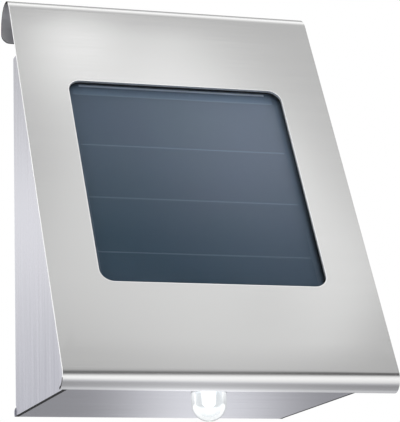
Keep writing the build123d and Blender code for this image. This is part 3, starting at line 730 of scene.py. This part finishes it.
def clear_acrylic():
    """Cast acrylic, polished: clear and bright, with thin lit outlines from its thick wall. It glows softly
    with painted light that stands in for the LED's light in it, most round its neck."""
    material, tree = finish("acrylic_clear_polished")
    place = add(tree, "TexCoord").outputs["Object"]
    # Faint flow marks from moulding, about 3 mm apart, that only move the gloss.
    flow = add(tree, "TexNoise", {"Vector": place, "Scale": 1 / 0.003, "Detail": 1.0})
    rough = add(
        tree,
        "MapRange",
        {"Value": flow.outputs[0], **NOISE_SPAN, "To Min": 0.08, "To Max": 0.14},
    )
    away = add(tree, "SeparateXYZ", {"Vector": place})
    # Painted glow: emission, dim at the dome and bright round the neck.
    dim, bright = -133.0 * MM, -125.5 * MM
    neck = add(tree, "MapRange", {"Value": away.outputs["Z"], "From Min": dim, "From Max": bright})
    painted_glow = add(
        tree,
        "Mix",
        {0: neck.outputs[0], 6: linear("4a4c4c"), 7: linear("fafcfc")},
        data_type="RGBA",
    )
    shader = add(
        tree,
        "BsdfPrincipled",
        {
            "Base Color": linear("f0f3f4"),
            "Roughness": rough.outputs[0],
            "IOR": 1.49,
            "Transmission Weight": 1.0,
            "Emission Color": painted_glow.outputs[2],
            "Emission Strength": 0.145,
        },
    )
    add(tree, "OutputMaterial", {"Surface": shader.outputs[0]})
    return material


def led_epoxy():
    """LED cast in milky epoxy: a smooth white body that spreads its own faint light."""
    material, tree = finish("led_epoxy_milky")
    place = add(tree, "TexCoord").outputs["Object"]
    # The scattering filler is far finer; it is drawn as clouds of 0.4 mm.
    filler = add(tree, "TexNoise", {"Vector": place, "Scale": 1 / 0.0004, "Detail": 3.0})
    colour = add(
        tree,
        "Mix",
        {0: filler.outputs[0], 6: linear("f4f4f0"), 7: linear("fbfbf8")},
        data_type="RGBA",
    )
    shader = add(
        tree,
        "BsdfPrincipled",
        {
            "Base Color": colour.outputs[2],
            "Roughness": 0.2,
            "IOR": 1.5,
            "Emission Color": linear("ffffff"),
            "Emission Strength": 1.5,
        },
    )
    add(tree, "OutputMaterial", {"Surface": shader.outputs[0]})
    return material


def circuit_board_mask():
    """Glass-epoxy board under green solder mask: satin, with slightly paler tracks about 1 mm wide."""
    material, tree = finish("fr4_green_solder_mask")
    place = add(tree, "TexCoord").outputs["Object"]
    facing = add(tree, "Mapping", {"Vector": place, "Rotation": (radians(90), 0, 0)})
    tracks = add(
        tree,
        "TexBrick",
        {"Vector": facing.outputs[0], "Scale": 1 / 0.006, "Mortar Size": 0.06, "Bias": -0.4},
        offset=0.35,
    )
    colour = add(
        tree,
        "Mix",
        {0: tracks.outputs["Fac"], 6: linear("1d5a3c"), 7: linear("2f7a52")},
        data_type="RGBA",
    )
    shader = add(tree, "BsdfPrincipled", {"Base Color": colour.outputs[2], "Roughness": 0.38, "IOR": 1.5})
    add(tree, "OutputMaterial", {"Surface": shader.outputs[0]})
    return material


def cell_shrink_wrap():
    """Rechargeable cell in shrink film: glossy green film with a pale band, bare steel at both ends."""
    material, tree = finish("battery_cell_shrink_film")
    place = add(tree, "TexCoord").outputs["Object"]
    away = add(tree, "SeparateXYZ", {"Vector": place})
    reach = add(tree, "Math", {0: away.outputs["X"]}, operation="ABSOLUTE")
    half_film, half_band = 24.75 * MM, 4.5 * MM
    end = add(tree, "Math", {0: reach.outputs[0], 1: half_film}, operation="GREATER_THAN")
    band = add(tree, "Math", {0: reach.outputs[0], 1: half_band}, operation="LESS_THAN")
    ripple = add(tree, "TexNoise", {"Vector": place, "Scale": 1 / 0.004, "Detail": 2.0})
    film = add(
        tree,
        "Mix",
        {0: ripple.outputs[0], 6: linear("2c7048"), 7: linear("3a8a5a")},
        data_type="RGBA",
    )
    banded = add(
        tree,
        "Mix",
        {0: band.outputs[0], 6: film.outputs[2], 7: linear("dfe6de")},
        data_type="RGBA",
    )
    colour = add(
        tree,
        "Mix",
        {0: end.outputs[0], 6: banded.outputs[2], 7: linear("c4c2bd")},
        data_type="RGBA",
    )
    shader = add(
        tree,
        "BsdfPrincipled",
        {"Base Color": colour.outputs[2], "Metallic": end.outputs[0], "Roughness": 0.3},
    )
    add(tree, "OutputMaterial", {"Surface": shader.outputs[0]})
    return material


# Every node's finish

COVER_STEEL = stainless_cover()
COVER_EDGE = sheared_edge()
# The window's border is a painted highlight: a thin ring of brighter, smoother sheet that draws a bright
# outline.
COVER_HIGHLIGHT_RING = plated("stainless_sheet_painted_highlight_ring", "dedede", "e8e8e8", 3.0, 0.16, 0.22)
COVER_INSIDE = plated("stainless_sheet_mill_inside", "c0c0c0", "d0d0d0", 6.0, 0.35, 0.5)
# The side panels' grain runs upright; it is drawn 3 mm wide and 60 mm long, with finer streaks in it.
SHELL_STEEL = stainless_housing(
    "stainless_sheet_brushed",
    (3, 3, 60),
    ("9494a0", "d2d2da"),
    0.20,
    0.30,
    # Painted shade: black and matt along the shell's lower edge, at its seam with the bottom plate.
    (-121.6, "101012", 0.0, 0.95),
)
# The bottom plate's grain runs along the wall.
PLATE_STEEL = stainless_housing(
    "stainless_sheet_brushed_across",
    (60, 3, 3),
    ("9494a0", "d2d2da"),
    0.20,
    0.26,
    # Painted shade: the bottom plate's underside is darkened.
    (-121.9, "aaaaae", 1.0, 0.23),
)
ZINC_STEEL = plated("steel_zinc_plated", "b4b6ba", "cfd1d4", 3.0, 0.25, 0.4)
NICKEL_STEEL = plated("steel_nickel_plated", "c2bfb8", "d8d5cd", 2.0, 0.15, 0.3)
REFLECTOR_FILM = plated("polycarbonate_aluminised", "e6e6e6", "f4f4f4", 4.0, 0.04, 0.1)
GLASS = panel_solar_glass()
SILICON = silicon_strips()
BACKSHEET = panel_backing()
ACRYLIC = clear_acrylic()
RUBBER = moulded("epdm_rubber_black", "0f0f10", "1a1a1b", 0.6, 0.75, 0.03)
BLACK_PLASTIC = moulded("abs_moulded_black", "1c1d1f", "27282b", 0.5, 0.48, 0.03)
COMPONENT_BLACK = moulded("epoxy_moulded_black", "18181a", "232326", 0.35, 0.55, 0.02)
WHITE_PLASTIC = moulded("pom_moulded_white", "dedede", "ececea", 0.5, 0.4, 0.02)
WHITE_MASK = moulded("aluminium_board_white_mask", "e2e2de", "eeeeea", 0.8, 0.35, 0.005)
LED = led_epoxy()
BOARD_MASK = circuit_board_mask()
CELL_FILM = cell_shrink_wrap()

FINISHES = {
    "front_cover": COVER_STEEL,
    "panel_gasket": RUBBER,
    "panel_glass": GLASS,
    "solar_cells": SILICON,
    "panel_backsheet": BACKSHEET,
    "junction_cap": BLACK_PLASTIC,
    "clamp_top": ZINC_STEEL,
    "clamp_bottom": ZINC_STEEL,
    "weld_studs": ZINC_STEEL,
    "clamp_nuts": ZINC_STEEL,
    "housing_shell": SHELL_STEEL,
    "bottom_plate": PLATE_STEEL,
    "lens": ACRYLIC,
    "lens_seal": RUBBER,
    "lamp_holder": BLACK_PLASTIC,
    "lamp_studs": ZINC_STEEL,
    "lamp_nuts": ZINC_STEEL,
    "reflector": REFLECTOR_FILM,
    "led_board": WHITE_MASK,
    "led_emitter": LED,
    "lamp_cap": BLACK_PLASTIC,
    "electronics_case": BLACK_PLASTIC,
    "case_studs": ZINC_STEEL,
    "case_nuts": ZINC_STEEL,
    "case_grommets": RUBBER,
    "case_seal": RUBBER,
    "case_lid": BLACK_PLASTIC,
    "case_screws": ZINC_STEEL,
    "battery_holder": BLACK_PLASTIC,
    "battery_cells": CELL_FILM,
    "battery_contacts": NICKEL_STEEL,
    "control_board": BOARD_MASK,
    "board_screws": ZINC_STEEL,
    "board_components": COMPONENT_BLACK,
    "switch_body": COMPONENT_BLACK,
    "switch_knob": WHITE_PLASTIC,
}
for node_name, material in FINISHES.items():
    nodes[node_name].data.materials.clear()
    nodes[node_name].data.materials.append(material)

# Pieces remade as finer surfaces

# The ring round the window takes slot 3, the painted highlight.
cover = piece(
    "cover_sheet", cover_skin(), "cover", COVER_STEEL, "front_cover", shades=(0, 0, 3, 0)
)
thick = cover.modifiers.new("sheet", "SOLIDIFY")
thick.thickness = SHEET * MM
thick.offset = -1.0
thick.use_even_offset = True
thick.material_offset = 1
thick.material_offset_rim = 2
for material in (COVER_INSIDE, COVER_EDGE, COVER_HIGHLIGHT_RING, COVER_INSIDE, COVER_EDGE):
    cover.data.materials.append(material)
eased = cover.modifiers.new("eased_edges", "BEVEL")
eased.width = EDGE_EASE * MM
eased.segments = 2
eased.limit_method = "ANGLE"
eased.angle_limit = EDGE_ANGLE
eased.harden_normals = True

glass = piece("panel_pane", (pane(),), "cover", GLASS, "panel_glass")
flat_faces(glass)

INTO_WALL, UPWARD = np.array([0.0, 1.0, 0.0]), np.array([0.0, 0.0, 1.0])
LAMP_AXIS = (np.array([0.0, -LENS_SETBACK, UNDERSIDE]), ACROSS, INTO_WALL, UPWARD)
LAMP_PIECES = (
    ("lens_turned", lens_profile(), "clear_acrylic", ACRYLIC, "lens"),
    ("led_turned", led_profile(), "led_phosphor", LED, "led_emitter"),
    ("reflector_turned", reflector_profile(), "reflector_film", REFLECTOR_FILM, "reflector"),
)
for name, profile, slot_name, material, node_name in LAMP_PIECES:
    surface = turned(*profile, *LAMP_AXIS, LAMP_FACETS)
    flat_faces(piece(name, (surface,), "housing", material, node_name))

corners = [(side, end) for side in (-1, 1) for end in (-1, 1)]
clamp_places = [
    FOOT + side * STUD_ACROSS * ACROSS + (PANEL_MIDDLE + end * STUD_UP) * UP for side, end in corners
]
lamp_places = [LAMP_AXIS[0] + side * LAMP_STUD_ACROSS * ACROSS for side in (-1, 1)]
screw_places = [
    np.array([side * SCREW_ACROSS, SCREW_SEAT, end * SCREW_UP + CASE_MIDDLE]) for side, end in corners
]
INTO = (ACROSS, UP, -OUT)
UPRIGHT = LAMP_AXIS[1:]
FACING = (ACROSS, UPWARD, -INTO_WALL)
# Heights of the nuts' seats over the outer face of the sheet: on the clamp strips, and on the holder's ears
CLAMP_SEAT, EAR_SEAT = 2.0, 4.0
FASTENERS = (
    (
        "clamp_nuts_hex",
        [nut(at - CLAMP_SEAT * OUT, *INTO, *NUT) for at in clamp_places],
        "cover",
        "clamp_nuts",
    ),
    (
        "weld_studs_threaded",
        [stud(at - SHEET * OUT, *INTO, *CLAMP_STUD) for at in clamp_places],
        "cover",
        "weld_studs",
    ),
    (
        "lamp_nuts_hex",
        [nut(at + EAR_SEAT * UPWARD, *UPRIGHT, *NUT) for at in lamp_places],
        "housing",
        "lamp_nuts",
    ),
    (
        "lamp_studs_threaded",
        [stud(at + SHEET * UPWARD, *UPRIGHT, *LAMP_STUD) for at in lamp_places],
        "housing",
        "lamp_studs",
    ),
    (
        "case_screws_cross",
        [screw(at, *FACING, *CASE_SCREW) for at in screw_places],
        "housing",
        "case_screws",
    ),
)
for name, patches, body, node_name in FASTENERS:
    flat_faces(piece(name, patches, body, ZINC_STEEL, node_name))

# Camera of the photograph, fitted to its edges

RIGHT = np.array([0.95695, -0.28905, -0.02620])
DOWN = np.array([0.03617, 0.20834, -0.97739])
FORWARD = np.array([0.28797, 0.93436, 0.20983])
CAMERA_PLACE = np.array([-224.78, -804.52, -216.34]) * MM
FOCAL_PIXELS = 2073.44
IMAGE_HEIGHT = 422

lens_data = bpy.data.cameras.new("camera")
lens_data.sensor_width = 36.0
lens_data.lens = FOCAL_PIXELS * lens_data.sensor_width / IMAGE_HEIGHT
lens_data.clip_start = 0.01
camera = bpy.data.objects.new("camera", lens_data)
stance = np.eye(4)
stance[:3, 0] = RIGHT
stance[:3, 1] = -DOWN
stance[:3, 2] = -FORWARD
stance[:3, 3] = CAMERA_PLACE
camera.matrix_world = Matrix(stance.tolist())
bpy.context.scene.collection.objects.link(camera)
bpy.context.scene.camera = camera

# Floor, world and lamps

floor_mesh = bpy.data.meshes.new("floor")
floor_span = 4.0
floor_level = -0.34
floor_corners = np.array([[-1, -1, 0], [1, -1, 0], [1, 1, 0], [-1, 1, 0]]) * floor_span
floor_mesh.from_pydata((floor_corners + [0, 0, floor_level]).tolist(), [], [(0, 1, 2, 3)])
floor = bpy.data.objects.new("floor", floor_mesh)
bpy.context.scene.collection.objects.link(floor)
# Metal and glass mirror the tent instead of the floor.
floor.visible_glossy = False
floor.visible_transmission = False
floor_paint, floor_tree = finish("floor_matt_white")
floor_place = add(floor_tree, "TexCoord").outputs["Object"]
floor_tone = add(floor_tree, "TexNoise", {"Vector": floor_place, "Scale": 2.0})
floor_colour = add(
    floor_tree,
    "Mix",
    {0: floor_tone.outputs[0], 6: linear("d4d4d4"), 7: linear("dadada")},
    data_type="RGBA",
)
floor_shader = add(floor_tree, "BsdfPrincipled", {"Base Color": floor_colour.outputs[2], "Roughness": 0.7})
add(floor_tree, "OutputMaterial", {"Surface": floor_shader.outputs[0]})
floor_mesh.materials.append(floor_paint)

# A light tent: for the camera it is plain white, and for metal and glass its brightness changes with the
# height of what they mirror. Angles run from the front's horizon over the top to the back, and below the
# horizon they are negative. The tent's left half, which the side panel mirrors in the photo's view, has its
# own levels.
TENT_RIGHT = (
    (-180, 0.49),
    (-170, 0.49),
    (-163, 0.52),
    (-156, 0.72),
    (-140, 0.85),
    (-126, 0.80),
    (-112, 0.60),
    (-96, 0.50),
    (-70, 0.42),
    (-56, 0.52),
    (-46, 0.78),
    (-34, 1.25),
    (-22, 1.50),
    (-6, 1.52),
    (2, 1.26),
    (8, 0.85),
    (15, 0.25),
    (24, 0.08),
    (34, 0.18),
    (42, 0.48),
    (52, 0.65),
    (64, 0.66),
    (67, 0.66),
    (70, 0.74),
    (80, 0.73),
    (90, 0.92),
    (98, 1.28),
    (108, 1.65),
    (118, 1.35),
    (127, 0.70),
    (140, 0.45),
    (180, 0.40),
)
TENT_LEFT = (
    (-180, 0.62),
    (-90, 0.60),
    (0, 1.00),
    (90, 1.00),
    (140, 1.20),
    (157, 0.66),
    (162.5, 0.66),
    (165, 0.97),
    (167.8, 1.37),
    (170.3, 1.00),
    (172.5, 0.86),
    (175, 0.74),
    (180, 0.60),
)
# The lit lens throws a glow on the lip, the foot of the slope and the underside: added in front of the lens,
# that is where the mirrored ray's X is near GLOW_MIDDLE.
GLOW = (
    (-180, 1.25),
    (-160, 0.80),
    (-140, 0.62),
    (-44, 0.68),
    (-30, 0.20),
    (-20, 0.12),
    (16, 0.12),
    (28, 0.20),
    (40, 0.28),
    (62, 0.23),
    (65.5, 0.13),
    (68, 0.00),
    (180, 0.00),
)
GLOW_LEFT, GLOW_MIDDLE, GLOW_RIGHT = 0.234, 0.290, 0.348
TENT_TOP = 1.7
# The tent is a little cooler low in front and at the horizon behind.
COOL, NEUTRAL = (0.985, 0.99, 1.03), (1.0, 1.0, 1.0)
COOL_BELOW, COOL_ABOVE = -40, 171
# Ahead of the lip the tent hangs askew, so the bands that the lip mirrors lean by up to LEAN degrees.
LEAN, LEAN_REACH = 16, 0.1
LEAN_START, LEAN_FULL = radians(-46.0), radians(-8.0)
LEAN_FADE, LEAN_END = radians(45.0), radians(58.0)
# Across the middle the left half's levels pass into the right half's.
HALVES_BLEND = 0.1
# The tent's far left wall is bright beside and behind the lamp, for the cover's dull cut edges.
WALL_START, WALL_FULL = -0.42, -0.62
BEHIND_START, BEHIND_FULL = -0.15, 0.25
WHITE, MATT_LIGHT = (1.0, 1.0, 1.0, 1.0), (0.75, 0.75, 0.75, 1.0)
world = bpy.data.worlds.new("studio")
bpy.context.scene.world = world
world.use_nodes = True
world.node_tree.nodes.clear()
tent_tree = world.node_tree
look = add(tent_tree, "SeparateXYZ", {"Vector": add(tent_tree, "TexCoord").outputs["Generated"]})
ahead = add(tent_tree, "Math", {0: look.outputs["Y"], 1: -1.0}, operation="MULTIPLY")
rise = add(tent_tree, "Math", {0: look.outputs["Z"], 1: ahead.outputs[0]}, operation="ARCTAN2")
share = add(tent_tree, "MapRange", {"Value": rise.outputs[0], "From Min": -np.pi, "From Max": np.pi})
lean_low = add(
    tent_tree,
    "MapRange",
    {"Value": rise.outputs[0], "From Min": LEAN_START, "From Max": LEAN_FULL},
    interpolation_type="SMOOTHSTEP",
)
lean_high = add(
    tent_tree,
    "MapRange",
    {"Value": rise.outputs[0], "From Min": LEAN_END, "From Max": LEAN_FADE},
    interpolation_type="SMOOTHSTEP",
)
lean = add(tent_tree, "Math", {0: lean_low.outputs[0], 1: lean_high.outputs[0]}, operation="MULTIPLY")
askew = add(
    tent_tree,
    "MapRange",
    {
        "Value": look.outputs["X"],
        "From Min": GLOW_MIDDLE - LEAN_REACH,
        "From Max": GLOW_MIDDLE + LEAN_REACH,
        "To Min": LEAN / 360,
        "To Max": -LEAN / 360,
    },
)
leaning = add(
    tent_tree,
    "Math",
    {0: lean.outputs[0], 1: askew.outputs[0], 2: share.outputs[0]},
    operation="MULTIPLY_ADD",
)
ramps = []
for levels, height in ((TENT_LEFT, share), (TENT_RIGHT, leaning), (GLOW, share)):
    ramp = add(tent_tree, "ValToRGB", {"Fac": height.outputs[0]})
    stops = ramp.color_ramp.elements
    for index, (angle, level) in enumerate(levels):
        position = (angle + 180) / 360
        stop = stops[index] if index < 2 else stops.new(position)
        stop.position = position
        tint = COOL if angle < COOL_BELOW or angle > COOL_ABOVE else NEUTRAL
        stop.color = (*(level / TENT_TOP * part for part in tint), 1.0)
    ramps.append(ramp.outputs[0])
sideways = add(
    tent_tree,
    "MapRange",
    {"Value": look.outputs["X"], "From Min": -HALVES_BLEND, "From Max": HALVES_BLEND},
)
both = add(tent_tree, "Mix", {0: sideways.outputs[0], 6: ramps[0], 7: ramps[1]}, data_type="RGBA")
wall = add(
    tent_tree,
    "MapRange",
    {"Value": look.outputs["X"], "From Min": WALL_START, "From Max": WALL_FULL},
    interpolation_type="SMOOTHSTEP",
)
behind = add(
    tent_tree,
    "MapRange",
    {"Value": look.outputs["Y"], "From Min": BEHIND_START, "From Max": BEHIND_FULL},
    interpolation_type="SMOOTHSTEP",
)
wall_lit = add(tent_tree, "Math", {0: wall.outputs[0], 1: behind.outputs[0]}, operation="MULTIPLY")
walled = add(
    tent_tree,
    "Mix",
    {0: wall_lit.outputs[0], 6: both.outputs[2], 7: WHITE},
    data_type="RGBA",
)
glow_rise = add(
    tent_tree,
    "MapRange",
    {"Value": look.outputs["X"], "From Min": GLOW_LEFT, "From Max": GLOW_MIDDLE},
    interpolation_type="SMOOTHSTEP",
)
glow_fall = add(
    tent_tree,
    "MapRange",
    {"Value": look.outputs["X"], "From Min": GLOW_RIGHT, "From Max": GLOW_MIDDLE},
    interpolation_type="SMOOTHSTEP",
)
glow = add(tent_tree, "Math", {0: glow_rise.outputs[0], 1: glow_fall.outputs[0]}, operation="MULTIPLY")
lens_lit = add(
    tent_tree,
    "Mix",
    {0: glow.outputs[0], 6: walled.outputs[2], 7: ramps[2]},
    data_type="RGBA",
    blend_type="ADD",
)
mirrored = add(
    tent_tree,
    "Mix",
    {0: 1.0, 6: lens_lit.outputs[2], 7: (TENT_TOP, TENT_TOP, TENT_TOP, 1.0)},
    data_type="RGBA",
    blend_type="MULTIPLY",
)
ray = add(tent_tree, "LightPath")
lit = add(
    tent_tree,
    "Mix",
    {0: ray.outputs["Is Glossy Ray"], 6: MATT_LIGHT, 7: mirrored.outputs[2]},
    data_type="RGBA",
)
plain = add(
    tent_tree,
    "Math",
    {0: ray.outputs["Is Camera Ray"], 1: ray.outputs["Is Transmission Ray"]},
    operation="MAXIMUM",
)
seen = add(
    tent_tree,
    "Mix",
    {0: plain.outputs[0], 6: lit.outputs[2], 7: WHITE},
    data_type="RGBA",
)
background = add(tent_tree, "Background", {"Color": seen.outputs[2], "Strength": 1.0})
add(tent_tree, "OutputWorld", {"Surface": background.outputs[0]})

# Softboxes that the slope mirrors. They lie in one plane square to the mirrored view, SOFTBOX_BACK points
# away from the slope, and each has a place and size in that plane, a turn in degrees and watts.
SOFTBOX_MIDDLE = np.array([0.3239, -0.4453, 0.9979])
SOFTBOX_BACK = np.array([0.2817, -0.3265, 0.9023])
LAMPS = (
    ("softbox_wide", (-0.052, -0.017), (0.226, 0.210), 36.0, 0.0570),
    ("softbox_strip", (0.052, -0.029), (0.085, 0.331), 6.2, 0.0640),
    ("softbox_small", (-0.013, 0.171), (0.069, 0.075), 5.4, 0.0200),
    ("softbox_low", (-0.008, -0.183), (0.110, 0.040), -36.0, 0.0085),
)
softbox_side = np.cross([0.0, 0.0, 1.0], SOFTBOX_BACK)
softbox_side = softbox_side / np.linalg.norm(softbox_side)
softbox_rise = np.cross(SOFTBOX_BACK, softbox_side)
for lamp_name, place, span, turn, watts in LAMPS:
    lamp_data = bpy.data.lights.new(lamp_name, "AREA")
    lamp_data.shape = "RECTANGLE"
    lamp_data.size, lamp_data.size_y = span
    lamp_data.energy = watts
    lamp = bpy.data.objects.new(lamp_name, lamp_data)
    cosine, sine = np.cos(radians(turn)), np.sin(radians(turn))
    stand = np.eye(4)
    stand[:3, 0] = cosine * softbox_side + sine * softbox_rise
    stand[:3, 1] = cosine * softbox_rise - sine * softbox_side
    stand[:3, 2] = SOFTBOX_BACK
    stand[:3, 3] = SOFTBOX_MIDDLE + place[0] * softbox_side + place[1] * softbox_rise
    lamp.matrix_world = Matrix(stand.tolist())
    # Only mirrored, so that the matt cells behind the glass stay free of noise.
    lamp.visible_diffuse = False
    bpy.context.scene.collection.objects.link(lamp)

bpy.context.scene.view_settings.view_transform = "Standard"
